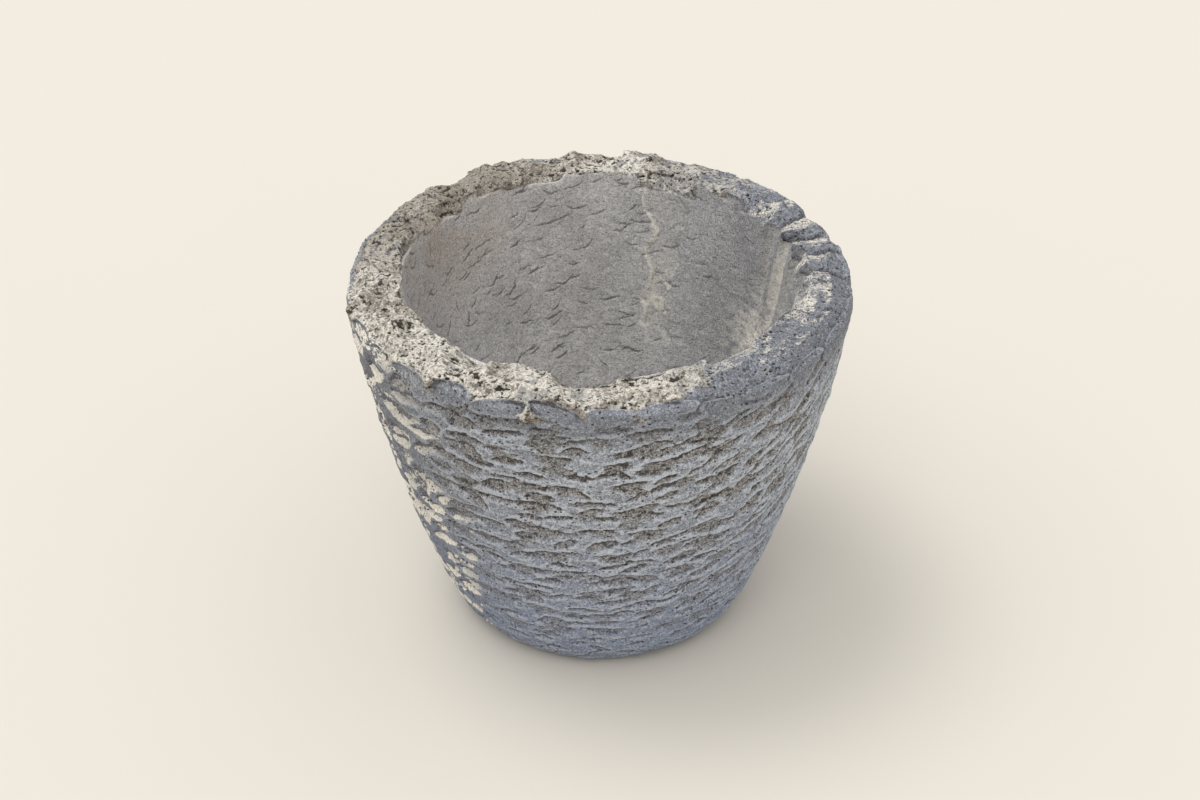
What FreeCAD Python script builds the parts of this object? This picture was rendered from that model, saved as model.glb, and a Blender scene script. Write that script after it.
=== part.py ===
"""Hand-carved stone planter, as a parametric document in millimetres.

The vessel is one block of stone: a tapered, slightly bellied tub with a chiselled flank and a rough-hewn rim.
Its floor holds the drain: a metal sleeve bedded in mortar, under a domed strainer that lifts out.
The origin is on the ground below the vessel's axis, +Z is up and -Y is the front.
"""

import FreeCAD
import Part
import Sketcher
import math
import os
import re

from FreeCAD import Vector

SIZES = {
    # Outside of the stone
    "rim_diameter": 600,
    "height": 470,
    "shoulder_drop": 40,
    "hip_diameter": 392,
    "hip_height": 50,
    "foot_inset": 36,
    "flank_bulge": 11,
    "foot_bulge": 5,
    # Inside of the stone
    "rim_wall": 63,
    "floor_thickness": 80,
    "cavity_hip_inset": 31,
    "cavity_hip_rise": 50,
    "cavity_floor_inset": 55,
    "cavity_bulge": 9,
    "cavity_foot_bulge": 11,
    # Underside, dressed hollow so that the planter stands on a ring
    "bearing_width": 45,
    "hollow_depth": 6,
    "weep_width": 24,
    # Hewing of the rim: depth cut off each edge, and the length, breadth and room of one cut
    "outer_bite": 13,
    "outer_stroke": 250,
    "inner_bite": 9,
    "inner_stroke": 88,
    "top_bite": 4,
    "top_stroke": 170,
    "stroke_breadth": 150,
    "stroke_room": 70,
    # Chisel scoops in rows round the flank: their spacing both ways, and one scoop's length and depth at its
    # lip. The gouge's edge is an arc.
    "scoop_spacing": 62,
    "scoop_row_rise": 38,
    "scoop_length": 26,
    "scoop_depth": 4.5,
    "gouge_radius": 100,
    # Worn valleys over the rim on the right, and the flutes that run on from them down the wall
    "valley_radius": 22,
    "valley_depth": 10,
    "flute_radius": 16,
    "flute_depth": 9,
    "flute_length": 190,
    "flute_lean": 15,
    # Drain sleeve and the mortar round it
    "sleeve_bore": 36,
    "sleeve_wall": 3,
    "flange_width": 21,
    "flange_thickness": 3,
    "mortar_joint": 4,
    "mortar_bed": 6,
    "drip_edge": 3,
    # Strainer
    "strainer_gap": 1.5,
    "strainer_rim": 7,
    "strainer_sheet": 3,
    "dome_rise": 13,
    "dome_bulge": 3,
    "knob_diameter": 14,
    "knob_height": 9,
    "strainer_hole": 4.5,
}

# Sizes that several pieces share, each worked out once from the driving sizes
RIM_R = "rim_diameter/2"
MOUTH_R = f"({RIM_R} - rim_wall)"
HIP_R = "hip_diameter/2"
FOOT_R = f"({HIP_R} - foot_inset)"
HOLLOW_R = f"({FOOT_R} - bearing_width)"
FLANK_FLARE = f"({RIM_R} - {HIP_R})"
FLANK_RISE = "(height - shoulder_drop - hip_height)"
CAVITY_HIP_R = f"({HIP_R} - cavity_hip_inset)"
CAVITY_FLOOR_R = f"({CAVITY_HIP_R} - cavity_floor_inset)"
BORE_R = "sleeve_bore/2"
SLEEVE_R = f"({BORE_R} + sleeve_wall)"
DRAIN_R = f"({SLEEVE_R} + mortar_joint)"
FLANGE_R = f"({SLEEVE_R} + flange_width)"
REBATE_R = f"({FLANGE_R} + mortar_joint)"
FLANGE_TOP = "(floor_thickness - strainer_sheet)"
FLANGE_BOTTOM = f"({FLANGE_TOP} - flange_thickness)"
REBATE_Z = f"({FLANGE_BOTTOM} - mortar_bed)"
SLEEVE_FOOT = "(hollow_depth - drip_edge)"
STRAINER_R = f"({FLANGE_R} - strainer_gap)"
DOME_R = f"({STRAINER_R} - strainer_rim)"
KNOB_R = "knob_diameter/2"
RIM_TOP = f"({FLANGE_TOP} + strainer_sheet)"
DOME_TOP = f"({RIM_TOP} + dome_rise)"

doc = FreeCAD.newDocument("planter")
sheet = doc.addObject("Spreadsheet::Sheet", "sizes")
for row, (alias, size) in enumerate(SIZES.items(), start=1):
    sheet.set(f"A{row}", alias)
    sheet.set(f"B{row}", str(size))
    sheet.setAlias(f"B{row}", alias)
doc.recompute()


def bound(text):
    """The text as an expression: each size's name points at its cell of the sheet."""
    return re.sub(r"[a-z_]+", lambda word: "sizes." + word[0] if word[0] in SIZES else word[0], text)


def number(text):
    """What such an expression is worth with the sheet as it stands."""
    return float(sheet.evalExpression(bound(text)))


def origin_feature(body, role):
    """The plane or axis of a body's own origin that has this role."""
    return next(item for item in body.Origin.OriginFeatures if item.Role == role)


def new_sketch(body, name, plane):
    sketch = body.newObject("Sketcher::SketchObject", name)
    sketch.AttachmentSupport = [(origin_feature(body, plane), "")]
    sketch.MapMode = "FlatFace"
    return sketch


def fix_size(sketch, constraint, text):
    """Adds a constraint whose last value follows an expression."""
    index = sketch.addConstraint(Sketcher.Constraint(*constraint, number(text)))
    sketch.setExpression(f"Constraints[{index}]", bound(text))


def fix_point(sketch, geometry, end, across, up):
    """Ties a point to its place; one that is on an axis of the sketch is held to that axis."""
    for text, kind, axis in ((across, "DistanceX", -2), (up, "DistanceY", -1)):
        if text == "0":
            sketch.addConstraint(Sketcher.Constraint("PointOnObject", geometry, end, axis))
        else:
            fix_size(sketch, (kind, -1, 1, geometry, end), text)


def bulged_arc(lower, upper, bulge):
    """Arc from the lower point to the upper one that stands off its chord, away from the axis."""
    chord = upper - lower
    radius = chord.Length**2 / (8 * bulge) + bulge / 2
    outward = Vector(chord.y, -chord.x, 0).normalize()
    centre = (lower + upper) / 2 - outward * (radius - bulge)
    angles = [math.atan2(point.y - centre.y, point.x - centre.x) for point in (lower, upper)]
    return Part.ArcOfCircle(Part.Circle(centre, Vector(0, 0, 1), radius), *angles)


def bulge_radius(start, end, bulge):
    """Expression for the radius of an arc with these ends that stands off its chord by the bulge."""
    chord_squared = f"((({end[0]}) - ({start[0]}))^2 + (({end[1]}) - ({start[1]}))^2)"
    return f"{chord_squared}/(8*{bulge}) + {bulge}/2"


def lathe_outline(body, name, stations):
    """Closed outline beside the axis, in the body's XZ plane. A station is (radius, height), or
    (radius, height, bulge) where the stretch that ends there is an arc bulging from the axis."""
    sketch = new_sketch(body, name, "XZ_Plane")
    places = [Vector(number(station[0]), number(station[1]), 0) for station in stations]
    ends = []
    for index, station in enumerate(stations):
        start, end = places[index - 1], places[index]
        if len(station) == 2:
            sketch.addGeometry(Part.LineSegment(start, end))
            ends.append((1, 2))
            continue
        rising = end.y > start.y
        lower, upper = (start, end) if rising else (end, start)
        sketch.addGeometry(bulged_arc(lower, upper, number(station[2])))
        ends.append((1, 2) if rising else (2, 1))
    for index, station in enumerate(stations):
        following = (index + 1) % len(stations)
        joined = (index, ends[index][1], following, ends[following][0])
        sketch.addConstraint(Sketcher.Constraint("Coincident", *joined))
        fix_point(sketch, index, ends[index][1], station[0], station[1])
        if len(station) == 3:
            before = stations[index - 1]
            fix_size(sketch, ("Radius", index), bulge_radius(before, station, station[2]))
    return sketch


def turn(body, kind, name, stations):
    """Adds (Revolution) or takes away (Groove) what the outline sweeps about the body's axis."""
    feature = body.newObject(f"PartDesign::{kind}", name)
    sketch = lathe_outline(body, f"{name}_outline", stations)
    feature.Profile = sketch
    feature.ReferenceAxis = (sketch, ["V_Axis"])
    feature.Angle = 360
    body.Tip = feature
    doc.recompute()
    return feature


def cut_straight(body, name, sketch, depth=None):
    """Pockets a sketch of the XY plane upwards by a depth, or right through without one."""
    pocket = body.newObject("PartDesign::Pocket", name)
    pocket.Profile = sketch
    if depth is None:
        pocket.Type = "ThroughAll"
        pocket.Midplane = True
    else:
        pocket.Reversed = True
        pocket.setExpression("Length", bound(depth))
    body.Tip = pocket
    doc.recompute()
    return pocket


def new_body(label):
    body = doc.addObject("PartDesign::Body", label)
    body.Label = label
    return body


# Stone block: turned to its tapered, bellied form, hollowed, and drained through its floor

block = new_body("stone_block")
turn(block, "Revolution", "block_form", [
    ("0", "0"),
    (FOOT_R, "0"),
    (HIP_R, "hip_height", "foot_bulge"),
    (RIM_R, "height - shoulder_drop", "flank_bulge"),
    (RIM_R, "height"),
    (MOUTH_R, "height"),
    (CAVITY_HIP_R, "floor_thickness + cavity_hip_rise", "cavity_bulge"),
    (CAVITY_FLOOR_R, "floor_thickness", "cavity_foot_bulge"),
    ("0", "floor_thickness"),
])
turn(block, "Groove", "drain_seat", [
    ("0", "0"),
    (DRAIN_R, "0"),
    (DRAIN_R, REBATE_Z),
    (REBATE_R, REBATE_Z),
    (REBATE_R, "floor_thickness"),
    ("0", "floor_thickness"),
])
turn(block, "Groove", "underside_hollow", [
    ("0", "0"),
    (HOLLOW_R, "0"),
    (f"{HOLLOW_R} - hollow_depth", "hollow_depth"),
    ("0", "hollow_depth"),
])

# Weep channel from the hollow to the back of the foot, so that drained water runs out unseen
weep_sketch = new_sketch(block, "weep_outline", "XY_Plane")
weep_corners = [
    ("-weep_width/2", f"{HOLLOW_R} - 2*hollow_depth"),
    ("weep_width/2", f"{HOLLOW_R} - 2*hollow_depth"),
    ("weep_width/2", RIM_R),
    ("-weep_width/2", RIM_R),
]
weep_places = [Vector(number(across), number(back), 0) for across, back in weep_corners]
for index, (across, back) in enumerate(weep_corners):
    weep_sketch.addGeometry(Part.LineSegment(weep_places[index - 1], weep_places[index]))
for index, (across, back) in enumerate(weep_corners):
    weep_sketch.addConstraint(Sketcher.Constraint("Coincident", index, 2, (index + 1) % 4, 1))
    fix_point(weep_sketch, index, 2, across, back)
cut_straight(block, "weep_channel", weep_sketch, "hollow_depth")


# Hewing of the rim: a ring of flat tool cuts along each edge and over the top, no two alike

def hew(name, azimuth, slope, corner_r, bite, stroke):
    """One flat cut. Its face goes from upright (slope 0) through level (90) to facing inwards (180),
    and takes a bite off the top of the rim at that radius, measured square to the face."""
    tool = doc.addObject("Part::Box", name)
    across, rise = math.cos(math.radians(slope)), math.sin(math.radians(slope))
    way_x, way_y = math.cos(math.radians(azimuth)), math.sin(math.radians(azimuth))
    out = f"({corner_r} - {bite}*{across:.6f} + stroke_breadth/2*{rise:.6f})"
    corner = (
        f"{out}*{way_x:.6f} + {stroke}/2*{way_y:.6f}",
        f"{out}*{way_y:.6f} - {stroke}/2*{way_x:.6f}",
        f"height - {bite}*{rise:.6f} - stroke_breadth/2*{across:.6f}",
    )
    tool.setExpression("Length", bound("stroke_room"))
    tool.setExpression("Width", bound(stroke))
    tool.setExpression("Height", bound("stroke_breadth"))
    place = "; ".join(bound(text) for text in corner)
    tool.setExpression(
        "Placement",
        f"create(<<placement>>; create(<<vector>>; {place}); "
        f"create(<<rotation>>; {azimuth:.4f}; {-slope:.4f}; 0))",
    )
    return tool


def hew_ring(edge, count, slope, slope_swing, corner_r, bite_swing, phase):
    """A ring of cuts whose slope and bite sway from one to the next, so that the edge looks broken."""
    tools = []
    for index in range(count):
        azimuth = 360 / count * (index + 0.25 * math.sin(2.3 * index + phase))
        sloped = slope + slope_swing * math.sin(1.7 * index + phase)
        share = 1 + bite_swing * math.sin(2.9 * index + 2 * phase)
        bite = f"{edge}_bite*{share:.4f}"
        tools.append(hew(f"{edge}_cut_{index}", azimuth, sloped, corner_r, bite, f"{edge}_stroke"))
    return tools


cuts = hew_ring("outer", 26, 50, 14, RIM_R, 0.40, 0.4)
cuts += hew_ring("inner", 20, 132, 12, MOUTH_R, 0.45, 1.1)
cuts += hew_ring("top", 13, 90, 4, f"({RIM_R} - rim_wall/2)", 0.75, 2.0)

# Worn valleys over the rim on the right, each of which runs on down the wall as a flute

def round_cut(name, azimuth, out, up, pitch, radius, length):
    """One round cut, whose axis leaves a point in the vertical plane at that azimuth.
    Its pitch is measured from upright towards the outside."""
    tool = doc.addObject("Part::Cylinder", name)
    way_x, way_y = math.cos(math.radians(azimuth)), math.sin(math.radians(azimuth))
    place = "; ".join(bound(text) for text in (f"({out})*{way_x:.6f}", f"({out})*{way_y:.6f}", up))
    tool.setExpression("Radius", bound(radius))
    tool.setExpression("Height", bound(length))
    tool.setExpression(
        "Placement",
        f"create(<<placement>>; create(<<vector>>; {place}); "
        f"create(<<rotation>>; {azimuth}; {bound(pitch)}; 0))",
    )
    return tool


VALLEY_AZIMUTHS = (28, 18.7, 9.4, 0.1)
for index, azimuth in enumerate(VALLEY_AZIMUTHS):
    cuts.append(round_cut(
        f"valley_{index}", azimuth, f"{MOUTH_R} - valley_radius", "height + valley_radius - valley_depth",
        "90", "valley_radius", "rim_wall + 2*valley_radius",
    ))
    cuts.append(round_cut(
        f"flute_{index}", azimuth, f"{MOUTH_R} + flute_depth - flute_radius - flute_length*sin(flute_lean)",
        "height - flute_length*cos(flute_lean)", "flute_lean", "flute_radius", "flute_length + flute_radius",
    ))

# Main chisel scoops of the flank: each is struck upwards, runs in slowly and stops at a lip

GOUGE_ARC = 34
STEEPEST_CLIMB, CLIMB_AZIMUTH, CLIMB_SPREAD = 30, -30, 40


def scoop(name, azimuth, share, depth, climb):
    """One gouge mark with its lip that share of the way up the flank, turned to climb to the right."""
    flank_r = f"({HIP_R} + {FLANK_FLARE}*{share:.4f} + flank_bulge*{4 * share * (1 - share):.4f})"
    flank_lean = f"atan(({FLANK_FLARE} + flank_bulge*{4 - 8 * share:.4f})/{FLANK_RISE})"
    lean = f"({flank_lean} - atan({depth}/scoop_length))"
    out = f"({flank_r} - {depth} + gouge_radius*cos({lean}) - scoop_length*sin({lean}))"
    way_x, way_y = math.cos(math.radians(azimuth)), math.sin(math.radians(azimuth))
    up = f"hip_height + {FLANK_RISE}*{share:.4f} - scoop_length*cos({lean}) - gouge_radius*sin({lean})"
    place = "; ".join(bound(text) for text in (f"{out}*{way_x:.6f}", f"{out}*{way_y:.6f}", up))
    tool = doc.addObject("Part::Cylinder", name)
    tool.setExpression("Radius", bound("gouge_radius"))
    tool.setExpression("Height", bound("scoop_length"))
    tool.Angle = GOUGE_ARC
    struck = f"create(<<rotation>>; {azimuth:.4f}; {bound(lean)}; {climb:.4f})"
    edge_inwards = f"create(<<rotation>>; {180 - GOUGE_ARC / 2}; 0; 0)"
    tool.setExpression(
        "Placement",
        f"create(<<placement>>; create(<<vector>>; {place}); {struck})"
        f" * create(<<placement>>; create(<<vector>>; 0; 0; 0); {edge_inwards})",
    )
    return tool


def climb_at(azimuth, share):
    """The strokes follow the circle, but climb to the right high on the right-hand side, in degrees."""
    aside = math.remainder(azimuth - CLIMB_AZIMUTH, 360) / CLIMB_SPREAD
    fade_in = min(1, max(0, (share - 0.2) / 0.4))
    return STEEPEST_CLIMB * math.exp(-aside**2) * fade_in


scoops = []
row_count = round(number(f"{FLANK_RISE}/scoop_row_rise"))
for row in range(row_count):
    row_share = (row + 0.85) / row_count
    scoop_count = round(2 * math.pi * number(f"({HIP_R} + {FLANK_FLARE}*{row_share})/scoop_spacing"))
    for index in range(scoop_count):
        sway = math.sin(2.3 * index + 1.3 * row)
        azimuth = 360 / scoop_count * (index + row / 2 + 0.15 * sway)
        share = row_share + 0.012 * math.sin(1.7 * index + 2.1 * row)
        depth = f"scoop_depth*{1 + 0.3 * math.sin(2.9 * index + row):.4f}"
        climb = climb_at(azimuth, share) + 5 * sway
        scoops.append(scoop(f"scoop_{row}_{index}", azimuth, share, depth, climb))

chips = doc.addObject("Part::MultiFuse", "rim_chips")
chips.Shapes = cuts
hewn_block = doc.addObject("Part::Cut", "hewn_block")
hewn_block.Base = block
hewn_block.Tool = chips
flank_marks = doc.addObject("Part::MultiFuse", "flank_marks")
flank_marks.Shapes = scoops
vessel = doc.addObject("Part::Cut", "stone_vessel")
vessel.Base = hewn_block
vessel.Tool = flank_marks
vessel.Label = "stone_vessel"

# Drain sleeve: a short tube with a flange, which lies on its mortar bed in the floor's rebate

sleeve = new_body("drain_sleeve")
turn(sleeve, "Revolution", "sleeve_form", [
    (BORE_R, SLEEVE_FOOT),
    (SLEEVE_R, SLEEVE_FOOT),
    (SLEEVE_R, FLANGE_BOTTOM),
    (FLANGE_R, FLANGE_BOTTOM),
    (FLANGE_R, FLANGE_TOP),
    (BORE_R, FLANGE_TOP),
])

# Mortar: fills the joint between the sleeve and the stone, and beds and points the flange

mortar = new_body("sleeve_mortar")
turn(mortar, "Revolution", "mortar_form", [
    (SLEEVE_R, "hollow_depth"),
    (DRAIN_R, "hollow_depth"),
    (DRAIN_R, REBATE_Z),
    (REBATE_R, REBATE_Z),
    (REBATE_R, FLANGE_TOP),
    (FLANGE_R, FLANGE_TOP),
    (FLANGE_R, FLANGE_BOTTOM),
    (SLEEVE_R, FLANGE_BOTTOM),
])

# Strainer: a domed disc with a lifting knob, drilled in rings, loose on the sleeve's flange

strainer = new_body("drain_strainer")
turn(strainer, "Revolution", "strainer_form", [
    ("0", f"{FLANGE_TOP} + dome_rise"),
    (KNOB_R, f"{FLANGE_TOP} + dome_rise"),
    (DOME_R, FLANGE_TOP, "dome_bulge"),
    (STRAINER_R, FLANGE_TOP),
    (STRAINER_R, RIM_TOP),
    (DOME_R, RIM_TOP),
    (KNOB_R, DOME_TOP, "dome_bulge"),
    (KNOB_R, f"{DOME_TOP} + knob_height"),
    ("0", f"{DOME_TOP} + knob_height"),
])
HOLES_IN_RINGS = (8, 14, 20)
for ring, holes in enumerate(HOLES_IN_RINGS, start=1):
    ring_r = f"({KNOB_R} + ({DOME_R} - {KNOB_R})*{ring}/{len(HOLES_IN_RINGS) + 1})"
    half_step = math.pi / holes
    across, along = f"{ring_r}*{math.cos(half_step):.6f}", f"{ring_r}*{math.sin(half_step):.6f}"
    hole_sketch = new_sketch(strainer, f"hole_outline_{ring}", "XY_Plane")
    hole_centre = Vector(number(across), number(along), 0)
    hole_sketch.addGeometry(Part.Circle(hole_centre, Vector(0, 0, 1), number("strainer_hole/2")))
    fix_point(hole_sketch, 0, 3, across, along)
    fix_size(hole_sketch, ("Radius", 0), "strainer_hole/2")
    hole = cut_straight(strainer, f"hole_{ring}", hole_sketch)
    pattern = strainer.newObject("PartDesign::PolarPattern", f"hole_ring_{ring}")
    pattern.Originals = [hole]
    pattern.Axis = (origin_feature(strainer, "Z_Axis"), [""])
    pattern.Angle = 360
    pattern.Occurrences = holes
    strainer.Tip = pattern
    doc.recompute()

doc.recompute()

# Each piece goes out under its own name, once the whole document is sound

for item in doc.Objects:
    if {"Invalid", "Error"} & set(item.State):
        raise RuntimeError(f"{item.Label} failed: {item.State}")
os.makedirs("parts", exist_ok=True)
for piece in (vessel, sleeve, mortar, strainer):
    if piece.Shape.isNull() or not piece.Shape.isValid():
        raise RuntimeError(f"{piece.Label} has no sound shape")
    piece.Shape.exportStep(f"parts/{piece.Label}.step")
    print(piece.Label, len(piece.Shape.Solids), "solid", round(piece.Shape.Volume), "mm3")
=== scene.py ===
"""Looks of the hand-carved stone planter, in metres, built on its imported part.

The sections follow the planter as it is made: the block is roughed out, its rim is hewn, the flank is
chiselled, the hollow is dressed with an adze, and then the drain is bedded in the floor.
"""

import itertools
import math

import bpy
import numpy as np
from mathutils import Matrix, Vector


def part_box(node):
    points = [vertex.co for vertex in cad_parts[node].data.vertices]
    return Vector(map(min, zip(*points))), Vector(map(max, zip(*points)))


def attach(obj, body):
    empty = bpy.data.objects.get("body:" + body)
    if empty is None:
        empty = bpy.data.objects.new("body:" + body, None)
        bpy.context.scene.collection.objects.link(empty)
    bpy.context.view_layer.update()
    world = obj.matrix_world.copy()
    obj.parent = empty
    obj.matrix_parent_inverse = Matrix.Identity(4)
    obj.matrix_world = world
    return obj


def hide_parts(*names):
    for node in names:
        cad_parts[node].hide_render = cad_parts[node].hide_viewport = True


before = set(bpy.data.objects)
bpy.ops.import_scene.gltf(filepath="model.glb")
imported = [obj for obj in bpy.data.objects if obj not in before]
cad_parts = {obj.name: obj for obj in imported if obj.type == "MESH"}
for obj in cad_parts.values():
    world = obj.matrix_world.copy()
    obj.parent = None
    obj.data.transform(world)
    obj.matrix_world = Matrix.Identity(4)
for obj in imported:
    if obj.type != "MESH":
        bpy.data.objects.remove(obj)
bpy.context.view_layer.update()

# Stone block
# One block of grey, porous limestone, roughed out to a tapered tub with a bellied flank and a thick wall.
# It stands on a ring round a dressed hollow, which a channel drains at the back.

# A pair is a distance from the axis and a height.
vessel_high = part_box("stone_vessel")[1]
rim_r = vessel_high.x
height = vessel_high.z
wall_thick = 0.063
shoulder_drop = 0.040
mouth_r = rim_r - wall_thick
shoulder_z = height - shoulder_drop
hip = (0.196, 0.050)
foot_r = 0.160
hollow_r = 0.115
hollow_depth = 0.006
cavity_hip = (0.165, 0.130)
cavity_floor = (0.110, 0.080)
rebate = (0.046, 0.068)
drain_r = 0.025
weep_width = 0.024

# The outline of the wall, from the drain's foot round the outside and back down the inside. Each stretch
# has its end, how far it stands off its chord away from the axis, and how far apart its rows of points are.
STRETCHES = {
    "hollow": ((hollow_r - hollow_depth, hollow_depth), 0, 0.010),
    "bevel": ((hollow_r, 0), 0, 0.003),
    "bearing": ((foot_r, 0), 0, 0.006),
    "foot": (hip, 0.005, 0.0022),
    "flank": ((rim_r, shoulder_z), 0.011, 0.0019),
    "shoulder": ((rim_r, height), 0, 0.0015),
    "top": ((mouth_r, height), 0, 0.0015),
    "wall": (cavity_hip, 0.009, 0.0014),
    "turn": (cavity_floor, 0.011, 0.0035),
    "floor": ((rebate[0], cavity_floor[1]), 0, 0.005),
    "rebate": (rebate, 0, 0.003),
    "seat": ((drain_r, rebate[1]), 0, 0.007),
    "bore": ((drain_r, hollow_depth), 0, 0.012),
}
COLUMNS = 1150


def stretch_points(start, end, bulge, step):
    """Points from the start up to, but without, the end."""
    start, end = np.array(start), np.array(end)
    chord = end - start
    length = math.hypot(*chord)
    outward = np.array([chord[1], -chord[0]]) / length
    if outward[0] < 0:
        outward = -outward
    count = max(1, round(length / step))
    share = np.arange(count)[:, None] / count
    return start + share * chord + outward * bulge * 4 * share * (1 - share)


rows = {}
outline = []
corner = STRETCHES["bore"][0]
for name, (end, bulge, step) in STRETCHES.items():
    points = stretch_points(corner, end, bulge, step)
    rows[name] = slice(len(outline), len(outline) + len(points))
    outline.extend(points)
    corner = end
outline = np.array(outline)
row_r = outline[:, 0, None]
row_along = np.concatenate([[0], np.cumsum(np.hypot(*np.diff(outline, axis=0).T))])[:, None]
angle = np.arange(COLUMNS)[None, :] * math.tau / COLUMNS
flank_foot = row_along[rows["foot"].start, 0]
flank_length = row_along[rows["top"].start, 0] - flank_foot
wall_top = row_along[rows["wall"].start, 0]
wall_length = row_along[rows["floor"].start, 0] - wall_top

stone = np.stack([row_r * np.cos(angle), row_r * np.sin(angle), outline[:, 1, None] + 0 * angle], axis=-1)
outside = slice(rows["bevel"].start, rows["shoulder"].start)
weep = (np.abs(stone[outside, :, 0]) < weep_width / 2) & (stone[outside, :, 1] > 0)
stone[outside, :, 2] = np.where(weep, np.maximum(stone[outside, :, 2], hollow_depth), stone[outside, :, 2])

# Hewn rim
# The rim was broken to size with an axe: flat cuts along both edges and over the top, none alike.
# On the right it is worn into lobes, and flutes run down the inside below them.

rows_down_flank, rows_down_wall = 24, 186
rim_rows = slice(rows["shoulder"].start - rows_down_flank, rows["wall"].start + rows_down_wall)
hewn = stone[rim_rows]
unhewn = hewn.copy()


def towards(azimuth):
    """Unit vectors out from the axis and along the circle at an azimuth in degrees."""
    turned = math.radians(azimuth)
    out = np.array([math.cos(turned), math.sin(turned), 0])
    return out, np.array([-out[1], out[0], 0])


# How far a cut takes to run out at each end
run_out = 0.016


def hew_ring(count, slope, slope_swing, corner_r, bite, bite_swing, stroke, phase):
    """Flat cuts in a ring. A slope of 0 faces outwards, 90 upwards and 180 inwards."""
    for index in range(count):
        azimuth = 360 / count * (index + 0.25 * math.sin(2.3 * index + phase))
        sloped = math.radians(slope + slope_swing * math.sin(1.7 * index + phase))
        depth = bite * (1 + bite_swing * math.sin(2.9 * index + 2 * phase))
        out, round_way = towards(azimuth)
        facing = out * math.cos(sloped) + np.array([0, 0, math.sin(sloped)])
        level = corner_r * math.cos(sloped) + height * math.sin(sloped) - depth
        proud = np.clip(hewn @ facing - level, 0, None)
        near = np.clip((stroke / 2 - np.abs(hewn @ round_way)) / run_out, 0, 1) * (hewn @ out > 0)
        hewn[...] = hewn - (near * proud)[..., None] * facing


hew_ring(
    count=26, slope=50, slope_swing=14, corner_r=rim_r,
    bite=0.013, bite_swing=0.40, stroke=0.250, phase=0.4,
)
hew_ring(
    count=20, slope=132, slope_swing=12, corner_r=mouth_r,
    bite=0.009, bite_swing=0.45, stroke=0.088, phase=1.1,
)
hew_ring(
    count=13, slope=90, slope_swing=4, corner_r=(rim_r + mouth_r) / 2,
    bite=0.004, bite_swing=0.75, stroke=0.170, phase=2.0,
)

hewn_off = np.zeros(stone.shape[:2])
hewn_off[rim_rows] = np.linalg.norm(hewn - unhewn, axis=-1)

VALLEY_AZIMUTHS = (28, 18.7, 9.4, 0.1)
flute_r, flute_depth, flute_lean = 0.016, 0.009, math.radians(15)
for valley in VALLEY_AZIMUTHS:
    out, round_way = towards(valley)
    aside = hewn @ round_way
    drop = height - hewn[..., 2]
    axis_r = mouth_r + flute_depth - flute_r - drop * math.tan(flute_lean)
    far_side = axis_r + np.sqrt(np.clip(flute_r**2 - aside**2, 0, None)) / math.cos(flute_lean)
    inside_flute = (np.abs(aside) < flute_r) & (hewn @ out > axis_r)
    push = np.where(inside_flute, np.clip(far_side - hewn @ out, 0, None), 0)
    hewn[...] = hewn + push[..., None] * out

# Chisel strokes on the flank
# Rows of scoops, each struck upwards: deep under a steep lip above and running out to nothing below.
# They follow the circle, but climb to the right high on the right-hand side.


def mottle(points, size, seed):
    """Smooth random field from -1 to 1, whose lumps are about this size across."""
    cells = 48
    lattice = np.random.default_rng(seed).uniform(-1, 1, (cells, cells, cells))
    at = points / size
    cell = np.floor(at).astype(int)
    share = at - cell
    share = share * share * (3 - 2 * share)
    total = np.zeros(points.shape[:-1])
    for step in itertools.product((0, 1), repeat=3):
        weight = np.prod(np.where(step, share, 1 - share), axis=-1)
        total += weight * lattice[tuple(np.moveaxis((cell + step) % cells, -1, 0))]
    return total


def rough(points, size, seed, octaves=3):
    """Sum of ever finer random fields."""
    return sum(mottle(points, size / 2**step, seed + step) / 2**step for step in range(octaves))


def lip_above(height_share):
    """Section of a scoop, from its bottom (-1) to its top (1): a slow run-in, then a steep lip."""
    rise = np.clip((height_share + 1) / 1.6, 0, 1)
    fall = np.clip((1 - height_share) / 0.25, 0, 1) ** 0.7
    return rise * fall


def lip_below(height_share):
    return lip_above(-height_share)


def trough(height_share):
    """Section of a scoop with a sharp edge below as well as above."""
    rise = np.clip((height_share + 1) / 0.55, 0, 1) ** 0.8
    fall = np.clip((1 - height_share) / 0.25, 0, 1) ** 0.7
    return rise * fall * (0.75 + 0.25 * height_share)


def bowl(height_share):
    return 1 - height_share**2


def wave(height_share):
    """A groove with a steep lobe on one side and a long, gentle one on the other."""
    steep = np.clip(1 + height_share / 0.6, 0, 1) ** 1.6
    gentle = np.clip(1 - height_share, 0, 1) ** 1.2
    return np.where(height_share < 0, steep, gentle)


def radius_at(along):
    """How far the outline is from the axis, this far along it."""
    return float(np.interp(along, row_along[:, 0], outline[:, 0]))


def patch_about(at_angle, at_along, reach, radius, tilt):
    """The grid's points within reach of a spot, and how far each is along and across a mark tilted there."""
    first, last = np.searchsorted(row_along[:, 0], (at_along - reach, at_along + reach))
    column_reach = math.ceil(reach / radius / math.tau * COLUMNS) + 1
    middle = round(at_angle / math.tau * COLUMNS)
    columns = np.arange(middle - column_reach, middle + column_reach + 1)
    patch = np.ix_(range(first, last), columns % COLUMNS)
    across = (columns[None, :] / COLUMNS * math.tau - at_angle) * row_r[first:last]
    up = row_along[first:last] - at_along
    length_way = across * math.cos(tilt) + up * math.sin(tilt)
    height_way = up * math.cos(tilt) - across * math.sin(tilt)
    return patch, length_way, height_way


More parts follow.
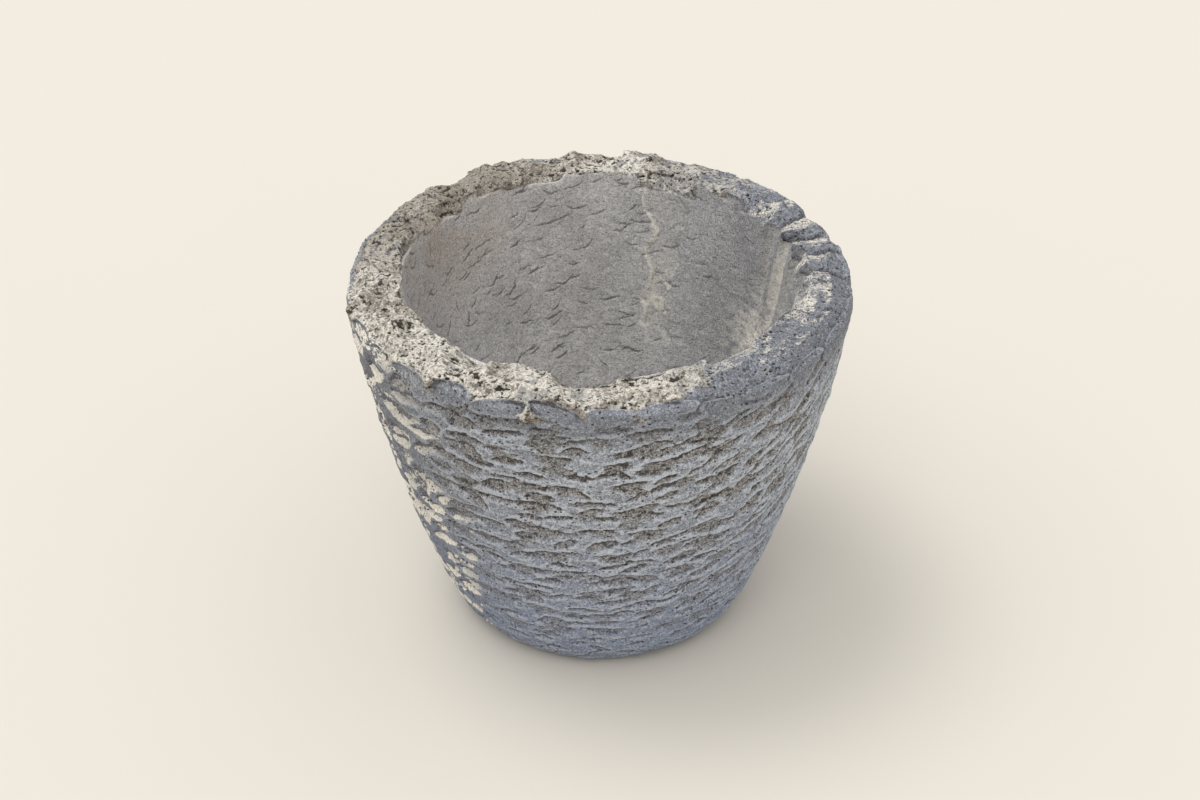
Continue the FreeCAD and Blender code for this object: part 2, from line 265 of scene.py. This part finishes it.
def press(depths, at_angle, at_along, half_length, half_height, tilt, depth, section, bend=0, point=0.5):
    """Presses one lens-shaped mark into a field of depths, where the deeper mark stays.
    The bend is how far its ends turn down, as a share of its length. A higher point sharpens them."""
    reach = half_length + half_height
    patch, length_way, height_way = patch_about(at_angle, at_along, reach, radius_at(at_along), tilt)
    length_share = length_way / half_length
    height_way = height_way + ragged[patch] + bend * half_length * length_share**2
    taper = np.clip(1 - length_share**2, 0, 1)
    height_share = height_way / (half_height * taper**point + 1e-6)
    mark = depth * section(np.clip(height_share, -1, 1)) * taper**0.6
    mark[(taper == 0) | (np.abs(height_share) > 1)] = 0
    depths[patch] = np.maximum(depths[patch], mark)


scoop_spacing, scoop_length, scoop_depth, gouge_r = 0.062, 0.026, 0.0045, 0.100
scoop_row_height, scoop_reach, scoop_lip = 0.038, 0.045, 0.0025


def gouge(depths, at_angle, lip_along, depth, climb):
    """Presses one main scoop: it runs in from its lower end and is deepest where it stops, at its lip."""
    radius = radius_at(lip_along)
    foot_along = lip_along - scoop_length
    patch, length_way, height_way = patch_about(at_angle, foot_along, scoop_reach, radius, climb)
    height_way = height_way + 0.7 * ragged[patch]
    hollow = depth * height_way / scoop_length - length_way**2 * (0.5 / gouge_r + 0.5 / radius)
    lip = np.clip((scoop_length - height_way) / scoop_lip, 0, 1)
    depths[patch] = np.maximum(depths[patch], np.clip(hollow, 0, None) * lip)


def blank():
    return np.zeros(stone.shape[:2])


azimuth = np.degrees(angle)


def near_azimuth(middle, half_width, power=2):
    """1 at an azimuth, falling to a third at half_width from it."""
    aside = np.remainder(azimuth - middle + 180, 360) - 180
    return np.exp(-np.abs(aside / half_width) ** power)


ragged = 0.0016 * rough(stone, 0.009, 3, 3)
chance = np.random.default_rng(11)
strokes = blank()


def climb_at(at_angle, share):
    """How steeply a stroke climbs to the right: up to 30 degrees high on the right-hand side."""
    aside = math.remainder(math.degrees(at_angle) + 30, 360) / 40
    return math.radians(30) * math.exp(-aside**2) * min(1, max(0, (share - 0.2) / 0.4))


scoop_rows = round((shoulder_z - hip[1]) / scoop_row_height)
flank_along = row_along[rows["flank"], 0]
flank_share = np.arange(len(flank_along)) / len(flank_along)
for row in range(scoop_rows):
    row_share = (row + 0.85) / scoop_rows
    count = round(math.tau * (hip[0] + (rim_r - hip[0]) * row_share) / scoop_spacing)
    for index in range(count):
        sway = math.sin(2.3 * index + 1.3 * row)
        at_angle = (index + row / 2 + 0.15 * sway) / count * math.tau
        share = row_share + 0.012 * math.sin(1.7 * index + 2.1 * row)
        depth = scoop_depth * (1 + 0.3 * math.sin(2.9 * index + row))
        climb = climb_at(at_angle, share) + math.radians(5 * sway)
        gouge(strokes, at_angle, float(np.interp(share, flank_share, flank_along)), depth, climb)

# Finer strokes between and over them. On the left they are fewer, broader and deeper, and most have their
# lip below.
stroke_pitch, stroke_length, stroke_room = 0.0170, 0.044, 1.15
bare_foot, bare_top = 0.008, 0.012
for along in np.arange(bare_foot, flank_length - bare_top, stroke_pitch):
    share_up = along / flank_length
    growth = 0.70 + 0.40 * share_up
    count = round(math.tau * radius_at(flank_foot + along) / (stroke_room * stroke_length * growth))
    begin = chance.uniform(0, 1)
    for index in range(count):
        at_angle = (index + begin + chance.uniform(-0.4, 0.4)) / count * math.tau
        on_left = math.exp(-(math.remainder(math.degrees(at_angle) - 200, 360) / 28) ** 2)
        if chance.uniform() < 0.35 * on_left:
            continue
        broad = 1 + on_left * (0.4 + 0.6 * share_up)
        tilt = math.radians(chance.normal(4, 8)) + climb_at(at_angle, share_up)
        if chance.uniform() < 0.08:
            tilt += math.radians(chance.uniform(-45, 45))
        at_along = flank_foot + along + chance.uniform(-0.5, 0.5) * stroke_pitch
        half_length = stroke_length * growth * chance.uniform(0.36, 0.74)
        half_height = broad * growth * chance.uniform(0.0048, 0.0105)
        depth = growth * chance.uniform(0.0024, 0.0052) * (1 + 0.8 * on_left)
        section = chance.choice([lip_above, trough]) if chance.uniform() < 0.95 - 0.8 * on_left else lip_below
        press(strokes, at_angle, at_along, half_length, half_height, tilt, depth, section, point=0.7)

# Broken rim
# Where the axe broke the stone it shows its pale inside: hollow chips, pitted by the stone's own pores.
# The top row of chisel strokes bites into it from below, and leaves it pointed in between.


def chipped(points, size, seed):
    """Broken stone: the lowest of the hollow chips about each point, in metres, and that chip's own tone."""
    cells = 32
    table = np.random.default_rng(seed).uniform(-1, 1, (cells, cells, cells, 8))
    at = points / size
    cell = np.floor(at).astype(int)
    lowest = np.full(points.shape[:-1], np.inf)
    tone = np.zeros(points.shape[:-1])
    for step in itertools.product((-1, 0, 1), repeat=3):
        chip = table[tuple(np.moveaxis((cell + step) % cells, -1, 0))]
        away = at - (cell + step + 0.5 + 0.45 * chip[..., :3])
        slope = np.sum(away * chip[..., 3:6], axis=-1)
        face = 0.10 * chip[..., 6] + 0.36 * slope + 0.25 * np.sum(away**2, axis=-1)
        tone = np.where(face < lowest, chip[..., 7], tone)
        lowest = np.minimum(lowest, face)
    return lowest * size, tone


arches = blank()
arch_drop = 0.026
arch_along = flank_foot + flank_length - arch_drop
arch_angle = 0.0
while arch_angle < math.tau:
    width = chance.uniform(0.044, 0.078)
    at_along = arch_along + chance.uniform(-0.007, 0.008)
    half_height = chance.uniform(0.012, 0.021)
    tilt = math.radians(chance.normal(0, 7))
    depth = chance.uniform(0.002, 0.004)
    press(arches, arch_angle + width / 2 / rim_r, at_along, width * 0.54, half_height, tilt, depth, lip_above)
    arch_angle += width / rim_r
arch_mask = np.clip(arches / 0.0008, 0, 1)

is_inside = blank()
is_inside[rows["wall"].start:rows["bore"].stop] = 1
on_flank = blank()
on_flank[rows["foot"].start:rows["top"].start] = 1
fresh = np.clip((hewn_off * (1 + 0.5 * rough(stone, 0.020, 21)) - 0.0012) / 0.0012, 0, 1)
mouth_edge = np.clip((stone[..., 2] - height + 0.010 + 0.005 * rough(stone, 0.030, 25)) / 0.005, 0, 1)
tongues = np.clip((row_along - arch_along + 0.006 + 0.007 * rough(stone, 0.030, 23)) / 0.003, 0, 1)
rim_mask = np.where(on_flank > 0, np.maximum(fresh, tongues) * (1 - arch_mask), np.maximum(fresh, mouth_edge))
rim_mask[rows["top"]] = 1
rim_mask[:rows["foot"].start] = 0
# The worn right-hand part of the rim, over which the finish also lays a painted shadow in grey
worn_and_shaded = near_azimuth(-3 + 16 * rough(stone, 0.035, 27), 64, 8)
rough_rim = rim_mask * (1 - 0.9 * worn_and_shaded)

crown_rows_down_wall = 24
crown = slice(rim_rows.start, rows["wall"].start + crown_rows_down_wall)
broken, tone = blank(), blank()
big_chips, tone[crown] = chipped(stone[crown], 0.030, 61)
small_chips, small_tone = chipped(stone[crown], 0.011, 62)
broken[crown] = 1.3 * big_chips + 1.1 * small_chips
broken[crown] -= broken[crown].mean()
tone[crown] = 0.6 * tone[crown] + 0.4 * small_tone
bedding = np.array([0.8, 1, 1.2])
pores = np.clip((rough(stone * bedding, 0.0046, 71, 2) + 0.40 * mottle(stone, 0.030, 75) - 0.50) / 0.22, 0, 1)

# Worn valleys and flutes on the right, rubbed deeper and rounder than the axe left them. Each has its share
# of wear, how far it leans from straight across, in radians, and how bright a streak of painted sunlight runs
# down its flute.
grooves = blank()
painted_flute_light = blank()
top_middle = row_along[rows["top"].start, 0] + 0.03
VALLEY_WEAR = ((1.0, 0.15, 0.3), (1.2, -0.12, 1.0), (0.75, 0.20, 0.5), (1.1, 0.02, 0.2))
for valley, (wear, lean, flute_light) in zip(VALLEY_AZIMUTHS, VALLEY_WEAR):
    at_angle = math.radians(valley)
    across = math.pi / 2 + lean
    press(grooves, at_angle, top_middle, 0.080 * wear, 0.032 * wear, across, 0.0085 * wear, wave)
    press(grooves, at_angle, top_middle, 0.070 * wear, 0.007, across, 0.0105 * wear, bowl)
    press(grooves, at_angle, wall_top + 0.045, 0.090, 0.014, math.pi / 2, 0.008, bowl)
    press(painted_flute_light, at_angle, wall_top + 0.065, 0.075, 0.020, math.pi / 2, flute_light, bowl)

# Dressed hollow
# The inside was smoothed with an adze, whose edge left thin curved nicks all over it.
# One strip at the back broke away rough and pale.

nicks = blank()
nick_count = 760
for _ in range(nick_count):
    at_angle = chance.uniform(0, math.tau)
    steep = 0.9 if abs(at_angle - math.pi) < 0.6 or chance.uniform() < 0.1 else 0.25
    at_along = wall_top + wall_length * chance.uniform(0.02, 0.98)
    half_length = chance.uniform(0.007, 0.017)
    half_height = chance.uniform(0.0009, 0.0015)
    tilt = chance.normal(0.25, steep)
    depth = chance.uniform(0.0008, 0.0018)
    bend = chance.uniform(0.0, 0.45)
    press(nicks, at_angle, at_along, half_length, half_height, tilt, depth, bowl, bend)
nicks *= is_inside * (1 - 0.7 * worn_and_shaded)

strip_azimuth = 69
strip_aside = np.radians(np.remainder(azimuth - strip_azimuth + 180, 360) - 180) * row_r
strip_edge = 0.019 + 0.013 * rough(stone, 0.030, 31)
strip_fade = np.clip((stone[..., 2] - 0.24) / 0.05 + 0.8 * rough(stone, 0.045, 35, 2), 0, 1) * is_inside
strip = strip_fade * np.clip((strip_edge - np.abs(strip_aside)) / 0.003, 0, 1)
strip_rim = strip_fade * np.clip(1 - np.abs(strip_edge - strip_aside) / 0.004, 0, 1)
strip_foot = np.clip((0.37 - stone[..., 2]) / 0.05, 0, 1) * np.clip(0.3 + 1.5 * rough(stone, 0.011, 37), 0, 1)

# The stone's own surface
# All the marks together, pressed in square to the block, over its slow unevenness and its coarse grain.


def soften(field, reach):
    """Mean of a field over a square of this many points each way."""
    for axis in (0, 1):
        field = sum(np.roll(field, step, axis) for step in range(-reach, reach + 1)) / (2 * reach + 1)
    return field


def facing_of(points, reach):
    """Unit vectors square to the surface, out of the stone, smoothed over this many points."""
    round_way = np.roll(points, -1, 1) - np.roll(points, 1, 1)
    along_way = np.roll(points, -1, 0) - np.roll(points, 1, 0)
    square = np.cross(round_way, along_way)
    square = np.stack([soften(square[..., axis], reach) for axis in range(3)], axis=-1)
    return square / (np.linalg.norm(square, axis=-1, keepdims=True) + 1e-12)


shown = blank()
shown[rows["foot"].start:rows["rebate"].start] = 1
flank_mask = on_flank * (1 - rim_mask)
cut = np.maximum(strokes * (1 - arch_mask), arches) * flank_mask
recess = np.clip(strokes * (1 - 0.7 * arch_mask) / 0.0026, 0, 1) * flank_mask
flakes = blank()
flakes[outside] = chipped(stone[outside] * np.array([1, 1, 2]), 0.022, 63)[0]
pores *= np.clip(rim_mask * (1 - 0.5 * worn_and_shaded) + flank_mask * (0.15 + 0.40 * recess), 0, 1)
land_rise, strip_depth, pore_depth = 0.0018, 0.0028, 0.0030
blows = 0.0010 * rough(stone, 0.120, 41, 2) + land_rise * flank_mask
blows += rim_mask * (1 - 0.7 * worn_and_shaded) * broken
blows -= cut + grooves + strip_depth * strip
grain = (0.0005 + 0.0009 * recess) * rough(stone, 0.0065, 45)
grain += 0.30 * (flakes - flakes[outside].mean()) * flank_mask
grain -= nicks + pore_depth * pores
square = facing_of(stone, 2)

# Painted sunlight: faces turned up and towards the back left, as a sun from there would light them, are
# painted paler on the rim, on the right rim's lobes and on the left flank's ledges. On a ledge it is the mark
# that turns them, not the block's own side.
sun_side = np.array([-0.58, 0.36, 0.73])
sun_facing = facing_of(stone + (blows * shown)[..., None] * square, 1) @ sun_side
sunlit_ledge = sun_facing - np.clip(square @ sun_side - 0.08, 0, None)
relief = (blows + grain) * shown
stone += relief[..., None] * square
stone[..., 2] = np.maximum(stone[..., 2], 0)
lifted = relief - soften(relief, 3)
# Painted shade: in a band under the rim, on the left flank's facets, and on the inner wall at the right and,
# less, at the left
under_rim_shade = 0.8 * np.exp(-((row_along - arch_along + 0.005) / 0.030) ** 2)
inner_shade = is_inside * (near_azimuth(25, 50) + 0.4 * near_azimuth(175, 38))

# Where each colour of the finish shows, painted light and shade among them, kept on the mesh's points
masks = {
    "recess": recess,
    # Painted shade in the adze nicks
    "nick_shade": np.clip(nicks / 0.0008, 0, 1),
    "pit": pores,
    # Painted highlight along the crests of the marks
    "crest_highlight": np.clip(lifted / 0.0010, 0, 1),
    # Painted shade in the creases
    "crease_shade": np.clip(-lifted / 0.0012, 0, 1),
    "rim": rough_rim,
    "tone": tone,
    "worn_and_shaded": rim_mask * np.maximum(worn_and_shaded, 0.6 * near_azimuth(62, 13, 4)),
    # Painted sunlight down the flutes
    "groove": np.clip(painted_flute_light, 0, 1) * is_inside,
    "hollow": is_inside,
    "stain": is_inside * near_azimuth(150, 45) * np.clip((stone[..., 2] - 0.28) / 0.15, 0, 1),
    "strip": np.clip(strip * (0.12 + 0.8 * strip_foot) + strip_rim, 0, 1),
    "sun_facing": sun_facing,
    "sunlit_ledge": sunlit_ledge,
    # Where the left flank's ledges get painted sunlight
    "sunlit_side": near_azimuth(194 + 18 * rough(stone, 0.060, 29), 40, 4) * on_flank,
    "shaded": np.where(on_flank > 0, np.maximum(near_azimuth(207, 30), under_rim_shade), inner_shade),
    "dull": near_azimuth(140, 38, 4) * rim_mask,
    # A painted pool of sunlight on the right inner wall
    "patch": is_inside * near_azimuth(22, 14) * np.exp(-((stone[..., 2] - 0.30) / 0.05) ** 2),
    "low": np.clip((0.30 - stone[..., 2]) / 0.25, 0, 1) * on_flank,
}

below = np.arange(len(outline))[:, None]
beside = np.arange(COLUMNS)[None, :]
above = (below + 1) % len(outline)
after = (beside + 1) % COLUMNS
faces = np.stack([
    below * COLUMNS + beside, below * COLUMNS + after, above * COLUMNS + after, above * COLUMNS + beside,
], axis=-1).reshape(-1, 4)
mesh = bpy.data.meshes.new("carved_stone")
mesh.from_pydata(stone.reshape(-1, 3), [], faces)
mesh.shade_smooth()
for name, mask in masks.items():
    layer = mesh.attributes.new(name, "FLOAT", "POINT")
    layer.data.foreach_set("value", np.ascontiguousarray(mask + 0 * ragged, dtype=np.float32).ravel())

# A flat map of the surface: round the stone one way and along its outline the other
round_share = beside / COLUMNS + 0 * below
along_share = below / len(outline) + 0 * beside
corners = [(0, 0), (1, 0), (1, 1), (0, 1)]
flat_map = np.stack([
    np.stack([round_share + right / COLUMNS, along_share + up / len(outline)], axis=-1)
    for right, up in corners
], axis=-2)
mesh.uv_layers.new(name="OFBake").uv.foreach_set("vector", flat_map.astype(np.float32).ravel())
carved_stone = bpy.data.objects.new("carved_stone", mesh)
bpy.context.scene.collection.objects.link(carved_stone)


# Stone finish
# Blue-grey on the chiselled skin, darker brown-grey in the scoops, painted shade in the creases, on the left
# flank and under the rim, a painted highlight on the crests and painted sunlight on the ledges on the left;
# pale where the rim broke, paler where its faces turn to a painted sun; a painted shadow in grey over the
# worn rim on the right, with painted sunlight on its lobes; and a warmer, smoother grey inside, with painted
# shade on its walls and in its nicks, and painted sunlight down the flutes and on one patch.


class Wire:
    """A shader socket. Sums on it add Math nodes to its material."""

    def __init__(self, finish, socket):
        self.finish = finish
        self.socket = socket

    def maths(self, operation, *values):
        return self.finish.node("ShaderNodeMath", {"operation": operation}, values)

    def __add__(self, other):
        return self.maths("ADD", self, other)

    def __radd__(self, other):
        return self.maths("ADD", other, self)

    def __sub__(self, other):
        return self.maths("SUBTRACT", self, other)

    def __rsub__(self, other):
        return self.maths("SUBTRACT", other, self)

    def __mul__(self, other):
        return self.maths("MULTIPLY", self, other)

    def __rmul__(self, other):
        return self.maths("MULTIPLY", other, self)


class Finish:
    """A material whose nodes are made one call at a time."""

    def __init__(self, name):
        self.material = bpy.data.materials.new(name)
        self.material.use_nodes = True
        self.tree = self.material.node_tree
        self.shader = self.tree.nodes["Principled BSDF"]

    def node(self, kind, settings=None, inputs=(), output=0):
        """Adds a node: its settings first, then its sockets' values or links."""
        made = self.tree.nodes.new(kind)
        for key, value in (settings or {}).items():
            setattr(made, key, value)
        pairs = inputs.items() if isinstance(inputs, dict) else enumerate(inputs)
        for key, value in pairs:
            self.feed(made.inputs[key], value)
        return Wire(self, made.outputs[output])

    def feed(self, socket, value):
        if isinstance(value, Wire):
            self.tree.links.new(value.socket, socket)
        else:
            socket.default_value = value

    def surface(self, **inputs):
        """Feeds the shader's sockets, whose names have spaces for underlines."""
        for key, value in inputs.items():
            self.feed(self.shader.inputs[key.replace("_", " ")], value)

    def mask(self, name):
        return self.node("ShaderNodeAttribute", {"attribute_name": name}, output="Fac")

    def place(self, stretch=(1, 1, 1)):
        """Where a point is on the piece, with each axis stretched."""
        at = self.node("ShaderNodeTexCoord", output="Object")
        return self.node("ShaderNodeVectorMath", {"operation": "MULTIPLY"}, [at, stretch])

    def noise(self, size, detail=4.0, roughness=0.55, stretch=(1, 1, 1)):
        inputs = {"Vector": self.place(stretch), "Scale": 1 / size, "Detail": detail, "Roughness": roughness}
        return self.node("ShaderNodeTexNoise", None, inputs)

    def pores(self, size, stretch=(1, 1, 1)):
        """Distance from the nearest of many scattered points."""
        inputs = {"Vector": self.place(stretch), "Scale": 1 / size}
        return self.node("ShaderNodeTexVoronoi", None, inputs, output="Distance")

    def ramp(self, value, low, high):
        """0 below low, 1 above high and smooth between. With low above high, it falls."""
        settings = {"interpolation_type": "SMOOTHSTEP"}
        return self.node("ShaderNodeMapRange", settings, {"Value": value, "From Min": low, "From Max": high})

    def blend(self, share, first, second):
        """The second colour over the first by this share."""
        settings = {"data_type": "RGBA", "clamp_factor": True}
        return self.node("ShaderNodeMix", settings, {0: share, 6: first, 7: second}, 2)

    def coats(self, colour, *coats):
        """Coats laid over a colour in turn, each a share and a colour of its own."""
        for share, coat in coats:
            colour = self.blend(share, colour, coat)
        return colour

    def bump(self, value, distance, strength):
        inputs = {"Height": value, "Distance": distance, "Strength": strength}
        return self.node("ShaderNodeBump", None, inputs)


def paint(red, green, blue):
    """A colour as a painter reads it off a screen, 0 to 255 each."""
    linear = [((part / 255 + 0.055) / 1.055) ** 2.4 for part in (red, green, blue)]
    return (*linear, 1)


LAND = paint(150, 155, 164)
PALE_LAND_AND_HIGHLIGHT = paint(195, 200, 208)
DARK_SKIN_AND_SHADE = paint(102, 104, 111)
MID_SKIN = paint(124, 127, 134)
LOW_SKIN = paint(126, 140, 168)
BROWN_AND_SHADE = paint(98, 93, 89)
BROWN_GRAIN = paint(168, 163, 157)
CREASE_SHADE = paint(58, 53, 50)
PORE = paint(60, 54, 47)
PEPPER_AND_SHADE = paint(70, 68, 68)
SALT = paint(232, 230, 224)
BROKEN_AND_SUNLIT = paint(228, 221, 208)
BROKEN_SHADE = paint(142, 131, 115)
INSIDE_GREY = paint(238, 235, 231)
INSIDE_SHADE = paint(200, 196, 191)
STAIN = paint(198, 184, 170)
# Pale stone of the broken strip, and also the colour of painted sunlight
PALE_AND_SUNLIT = paint(240, 233, 219)

limestone = Finish("limestone")
cloud = limestone.noise(0.085, 5)
blotch = limestone.noise(0.014, 5, 0.6, (1, 1, 1.6))
speckle = limestone.noise(0.0032, 5, 0.65)
dust = limestone.noise(0.0019, 3, 0.75)
ramp = limestone.ramp
salt = ramp(dust, 0.38, 0.62)
masked = {name: limestone.mask(name) for name in masks}

# Darker brown-grey in the scoops, and painted shade in the creases
scoop_brown = limestone.blend(ramp(0.6 * speckle + 0.5 * salt, 0.38, 0.80), BROWN_AND_SHADE, BROWN_GRAIN)
scoop_and_crease_share = ramp(masked["recess"] * (0.2 + 1.4 * blotch) + 0.4 * masked["crease_shade"], 0.25, 0.85)
# Painted sunlight on the ledges that face the painted sun
turned = ramp(masked["sunlit_ledge"] + 0.3 * (blotch - 0.5) + 0.5 * (speckle - 0.5), 0.13, 0.20)
skin = limestone.coats(
    MID_SKIN,
    (ramp(blotch + 0.6 * cloud, 0.60, 0.95), LAND),
    (masked["low"] * 0.8 * ramp(blotch, 0.3, 0.6), LOW_SKIN),
    # Paler speckle, with a painted highlight along the crests
    (ramp(speckle + 0.4 * salt + 0.6 * masked["crest_highlight"], 0.62, 1.15), PALE_LAND_AND_HIGHLIGHT),
    (scoop_and_crease_share * 0.85, scoop_brown),
    # Painted shade in the creases
    (ramp(masked["crease_shade"] + 0.4 * (speckle - 0.5), 0.35, 0.75) * 0.85, CREASE_SHADE),
    # Painted shade on the left flank and under the rim
    (masked["shaded"] * 0.75, DARK_SKIN_AND_SHADE),
    (masked["low"] * 0.4, LOW_SKIN),
    # Painted sunlight on the left flank's ledges
    (masked["sunlit_side"] * turned, PALE_AND_SUNLIT),
)

inside = limestone.coats(
    INSIDE_SHADE,
    (ramp(cloud + 0.9 * blotch, 0.70, 1.20), INSIDE_GREY),
    (ramp(blotch + 0.5 * speckle, 0.62, 0.45) * 0.35, BROWN_AND_SHADE),
    (masked["stain"] * ramp(cloud + 0.4 * speckle, 0.55, 0.85), STAIN),
    # Random dark specks, and painted shade on the inner walls
    (ramp(salt, 0.75, 0.25) * 0.20 + masked["shaded"] * 0.6, DARK_SKIN_AND_SHADE),
    # Painted shade in the nicks
    (masked["nick_shade"] * 0.7, PEPPER_AND_SHADE),
    (masked["strip"] * ramp(blotch, 0.25, 0.45), PALE_AND_SUNLIT),
    # A painted pool of sunlight on the right inner wall
    (masked["patch"] * ramp(blotch + 0.3 * cloud, 0.50, 0.75), PALE_AND_SUNLIT),
    # Painted sunlight down the flutes
    (masked["groove"] * 0.7, PALE_AND_SUNLIT),
)

# The broken rim's tone, paler where its faces turn towards the painted sun
pale_tone_and_sunlight = speckle + 0.4 * blotch + 0.4 * masked["tone"] + 0.3 * masked["sun_facing"]
dull_share = masked["dull"] * (0.5 + 0.5 * ramp(cloud + 0.5 * blotch, 0.45, 0.95))
grey_chip = ramp(masked["tone"] + 0.3 * (blotch - 0.5), 0.56, 0.64)
pale = limestone.coats(
    BROKEN_SHADE,
    (ramp(pale_tone_and_sunlight, 0.45, 1.05), BROKEN_AND_SUNLIT),
    # Painted shade in the rim's creases
    (ramp(masked["crease_shade"] + 0.3 * speckle, 0.40, 0.9) * 0.6, BROWN_AND_SHADE),
    (dull_share, BROKEN_SHADE),
    (grey_chip * ramp(salt, 0.0, 0.6) * 0.75, DARK_SKIN_AND_SHADE),
)

# Painted sunlight on the worn lobes' faces turned up and to the back left
lobe_sunlight = masked["worn_and_shaded"] * ramp(masked["sun_facing"] + 0.4 * (blotch - 0.5), 0.64, 0.76)
lobe_sunlight = lobe_sunlight * ramp(cloud + 0.8 * blotch + 0.3 * salt, 0.95, 1.20)
coarse = 0.65 + 0.35 * masked["rim"]
pore_share = ramp(limestone.pores(0.0060, (0.8, 1, 1.2)), 0.30, 0.16) * ramp(blotch, 0.38, 0.56)
small_pits = ramp(limestone.noise(0.0048, 3, 0.5), 0.57, 0.63) * (masked["rim"] + 0.6 * masked["worn_and_shaded"])
dark_share = ramp(masked["pit"] + 0.9 * pore_share * (1 - 0.7 * masked["hollow"]), 0.25, 0.8)
dark_share = dark_share + small_pits * 0.75
colour = limestone.coats(
    skin,
    (masked["hollow"], inside),
    (ramp(masked["rim"] + 0.4 * (blotch - 0.5), 0.35, 0.6), pale),
    # Painted shadow over the worn rim on the right
    (masked["worn_and_shaded"] * 0.7, DARK_SKIN_AND_SHADE),
    (lobe_sunlight, BROKEN_AND_SUNLIT),
    (ramp(speckle, 0.60, 0.36) * 0.45 * coarse, DARK_SKIN_AND_SHADE),
    (ramp(dust, 0.47, 0.35) * 0.62 * coarse, PEPPER_AND_SHADE),
    (ramp(dust, 0.55, 0.66) * 0.50 * coarse, SALT),
    (dark_share * 0.92, PORE),
)

fine = limestone.bump(speckle + 0.5 * dust - 1.2 * pore_share - small_pits, 0.0012, 0.8)
limestone.surface(Base_Color=colour, Roughness=0.92, Specular_IOR_Level=0.25, Normal=fine)
mesh.materials.append(limestone.material)
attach(carved_stone, "vessel")
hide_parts("stone_vessel")

# Mortar round the drain
# Lime mortar, trowelled into the joint between the stone and the sleeve, with sand showing in it.

LIME = paint(176, 168, 152)
SAND = paint(132, 120, 102)
mortar = Finish("lime_mortar")
sand = mortar.noise(0.0016, 3, 0.7)
trowelled = mortar.noise(0.012, 4)
lime = mortar.blend(mortar.ramp(sand + 0.4 * trowelled, 0.55, 0.95), SAND, LIME)
mortar.surface(Base_Color=lime, Roughness=0.95, Normal=mortar.bump(sand + 0.6 * trowelled, 0.0008, 0.8))

# Drain sleeve and strainer
# Both are cast in zinc, left to go dull: a flanged tube set in the mortar, and a domed strainer lying on it.

ZINC = paint(128, 131, 132)
ZINC_BLOOM = paint(172, 174, 172)
SILT = paint(92, 82, 70)
zinc = Finish("dull_zinc")
bloom = zinc.noise(0.009, 6, 0.65)
scratch = zinc.noise(0.0020, 3, 0.6, (1, 6, 1))
metal = zinc.blend(zinc.ramp(bloom, 0.42, 0.68), ZINC, ZINC_BLOOM)
silt_share = zinc.ramp(zinc.noise(0.020, 5, 0.6), 0.52, 0.75) * 0.6
metal = zinc.blend(silt_share, metal, SILT)
zinc.surface(
    Base_Color=metal,
    Metallic=0.85 - 0.7 * silt_share,
    Roughness=0.42 + 0.3 * bloom,
    Normal=zinc.bump(bloom + 0.3 * scratch, 0.0004, 0.5),
)
for node, finish in (("sleeve_mortar", mortar), ("drain_sleeve", zinc), ("drain_strainer", zinc)):
    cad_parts[node].data.materials.clear()
    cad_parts[node].data.materials.append(finish.material)

# Floor, light and camera
# A pale studio floor, lit evenly from all round, with broad soft lights from the left, the front and above.
# The camera stands where the photograph was taken from.

floor_half = 12.0
floor_mesh = bpy.data.meshes.new("studio_floor")
floor_corners = [(-floor_half, -floor_half, 0), (floor_half, -floor_half, 0)]
floor_corners += [(floor_half, floor_half, 0), (-floor_half, floor_half, 0)]
floor_mesh.from_pydata(floor_corners, [], [(0, 1, 2, 3)])
studio_floor = bpy.data.objects.new("studio_floor", floor_mesh)
bpy.context.scene.collection.objects.link(studio_floor)
PAPER = paint(221, 215, 204)
PAPER_SHADE = paint(220, 214, 203)
paper = Finish("pale_paper")
fibre = paper.noise(0.4, 3)
paper.surface(Base_Color=paper.blend(fibre, PAPER, PAPER_SHADE), Roughness=0.9, Specular_IOR_Level=0.0)
floor_mesh.materials.append(paper.material)

even_light = 0.83
world = bpy.data.worlds.new("studio")
world.use_nodes = True
world.node_tree.nodes["Background"].inputs["Color"].default_value = (1, 1, 1, 1)
world.node_tree.nodes["Background"].inputs["Strength"].default_value = even_light
bpy.context.scene.world = world

# Each light has its strength, its spread in degrees and the way it shines.
LIGHTS = {
    "key": (0.36, 42, (0.50, 0.10, -0.86)),
    "front_fill": (0.45, 30, (0.10, 0.60, -0.79)),
    "top_light": (0.70, 28, (0.30, -0.14, -0.94)),
}
for name, (energy, spread, way) in LIGHTS.items():
    light = bpy.data.lights.new(name, "SUN")
    light.energy = energy
    light.angle = math.radians(spread)
    lamp = bpy.data.objects.new(name, light)
    lamp.rotation_euler = Vector(way).to_track_quat("-Z", "Y").to_euler()
    bpy.context.scene.collection.objects.link(lamp)

camera_data = bpy.data.cameras.new("camera")
camera_data.sensor_width = 36
camera_data.lens = 78.7
camera = bpy.data.objects.new("camera", camera_data)
camera.location = (0, -2.698, 2.048)
aim = Vector((0, 0, 0.275))
camera.rotation_euler = (aim - camera.location).to_track_quat("-Z", "Y").to_euler()
bpy.context.scene.collection.objects.link(camera)
bpy.context.scene.camera = camera
bpy.context.scene.view_settings.view_transform = "Standard"
